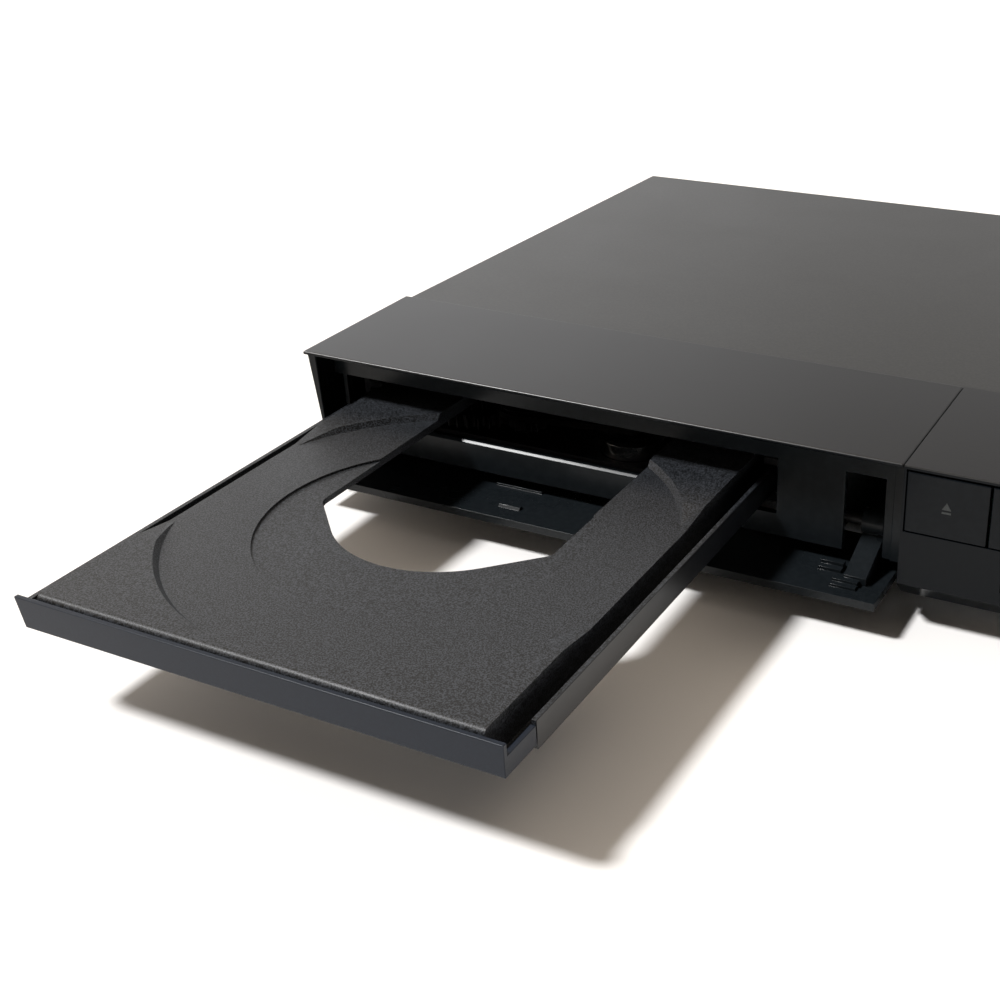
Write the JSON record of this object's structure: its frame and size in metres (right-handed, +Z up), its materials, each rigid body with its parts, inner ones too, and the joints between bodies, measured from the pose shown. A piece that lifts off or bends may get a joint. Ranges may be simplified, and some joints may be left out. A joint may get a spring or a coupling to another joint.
{
  "type": "optical disc player",
  "caption": "Low black optical disc player with a sliding disc tray, a drop-down front door, push buttons and rear sockets.",
  "frame": {"origin": "on the floor, under the middle of the box round the player with its tray out", "axes": "+X to the right seen from the front, +Y to the back, +Z up"},
  "size_m": [0.255, 0.3264, 0.043],
  "materials": {
    "dark_plastic": "fine matte moulded black plastic",
    "bezel_plastic": "smooth satin black plastic",
    "frame_plastic": "satin black plastic",
    "tray_plastic": "grained matte black plastic",
    "lip_plastic": "satin blue-black plastic",
    "cover_paint": "fine textured dark grey powder coat",
    "zinc_steel": "zinc-plated sheet steel",
    "bright_steel": "polished steel",
    "screw_steel": "blackened steel",
    "rubber": "soft black rubber",
    "gear_plastic": "black acetal",
    "brass": "turned brass",
    "board": "green glass-fibre circuit board",
    "alloy": "extruded aluminium",
    "smoked": "smoked clear plastic",
    "lens": "coated lens",
    "cable": "flat white cable",
    "jack_orange": "orange moulded plastic"
  },
  "bodies": {
    "casing": {"top_cover": "cover_paint", "bay_shell": "bezel_plastic", "control_shell": "bezel_plastic", "base_pan": "zinc_steel", "rear_panel": "screw_steel", "feet": "rubber", "cover_screws": "screw_steel", "rear_screws": "screw_steel", "front_frame": "frame_plastic", "door_pins": "screw_steel", "door_spring": "screw_steel", "loader_chassis": "frame_plastic", "hinge_pins": "bright_steel", "clamp_bridge": "zinc_steel", "loading_belt": "rubber", "loading_motor": "bright_steel", "indicator_window": "smoked", "indicator_led": "lens", "usb_socket": "bright_steel", "usb_tongue": "dark_plastic", "front_board": "board", "tact_switches": "dark_plastic", "front_ribbon": "cable", "main_board": "board", "heat_sink": "alloy", "hdmi_socket": "bright_steel", "lan_socket": "bright_steel", "coax_jack": "jack_orange", "dc_jack": "dark_plastic", "dc_pin": "brass"},
    "tray": {"disc_tray": "tray_plastic", "tray_lip": "lip_plastic"},
    "door": {"disc_door": "bezel_plastic"},
    "drive_gear": {"drive_gear": "gear_plastic"},
    "pulley_gear": {"pulley_gear": "gear_plastic"},
    "motor_pulley": {"motor_pulley": "gear_plastic"},
    "traverse": {"traverse_frame": "dark_plastic", "damper_bushes": "rubber", "mech_deck": "zinc_steel", "spindle_motor": "bright_steel", "guide_rods": "bright_steel", "feed_motor": "bright_steel"},
    "turntable": {"turntable": "dark_plastic"},
    "clamp": {"clamp_puck": "dark_plastic"},
    "sled": {"pickup": "alloy", "pickup_lens": "lens"},
    "feed_screw": {"feed_screw": "bright_steel"},
    "eject": {"eject_button": "bezel_plastic"},
    "power": {"power_button": "bezel_plastic"}
  },
  "joints": [
    {"name": "tray_slide", "type": "slide", "parent": "casing", "child": "tray", "axis": [0, 1, 0], "range_m": [0, 0.119]},
    {"name": "door_hinge", "type": "hinge", "parent": "casing", "child": "door", "pos_m": [-0.0548, -0.03605, 0.02], "axis": [-1, 0, 0], "range_deg": [0, 24]},
    {"name": "eject_press", "type": "slide", "parent": "casing", "child": "eject", "axis": [0, 1, 0], "range_m": [0, 0.0006], "stiffness_N_per_m": 1500},
    {"name": "power_press", "type": "slide", "parent": "casing", "child": "power", "axis": [0, 1, 0], "range_m": [0, 0.0006], "stiffness_N_per_m": 1500},
    {"name": "traverse_lift", "type": "hinge", "parent": "casing", "child": "traverse", "pos_m": [-0.0548, 0.10175, 0.0195], "axis": [-1, 0, 0], "range_deg": [0, 5.03]},
    {"name": "turntable_spin", "type": "hinge", "parent": "traverse", "child": "turntable", "pos_m": [-0.0548, 0.02114, 0.02295], "axis": [0, -0.0876, 0.9962], "continuous": true},
    {"name": "clamp_spin", "type": "hinge", "parent": "casing", "child": "clamp", "pos_m": [-0.0548, 0.02175, 0.036], "axis": [0, 0, 1], "continuous": true},
    {"name": "pickup_slide", "type": "slide", "parent": "traverse", "child": "sled", "axis": [0, 0.9962, 0.0876], "range_m": [0, 0.034]},
    {"name": "feed_screw_spin", "type": "hinge", "parent": "traverse", "child": "feed_screw", "pos_m": [-0.0352, 0.03448, 0.01388], "axis": [0, 0.9962, 0.0876], "range_deg": [0, 3061]},
    {"name": "drive_gear_spin", "type": "hinge", "parent": "casing", "child": "drive_gear", "pos_m": [-0.0978, -0.00532, 0.0128], "axis": [0, 0, 1], "range_deg": [-853.27, 0]},
    {"name": "pulley_gear_spin", "type": "hinge", "parent": "casing", "child": "pulley_gear", "pos_m": [-0.07948, -0.00789, 0.0128], "axis": [0, 0, 1], "range_deg": [0, 2015.47]},
    {"name": "motor_pulley_spin", "type": "hinge", "parent": "casing", "child": "motor_pulley", "pos_m": [-0.04548, -0.00789, 0.0176], "axis": [0, 0, 1], "range_deg": [0, 6664.24]}
  ],
  "couplings": [
    {"joint": "drive_gear_spin", "follows": "tray_slide", "rad_per_m": -125},
    {"joint": "pulley_gear_spin", "follows": "tray_slide", "rad_per_m": 295.45},
    {"joint": "motor_pulley_spin", "follows": "tray_slide", "rad_per_m": 977.27},
    {"joint": "clamp_spin", "follows": "turntable_spin", "ratio": 1},
    {"joint": "feed_screw_spin", "follows": "pickup_slide", "rad_per_m": 1570.8}
  ]
}
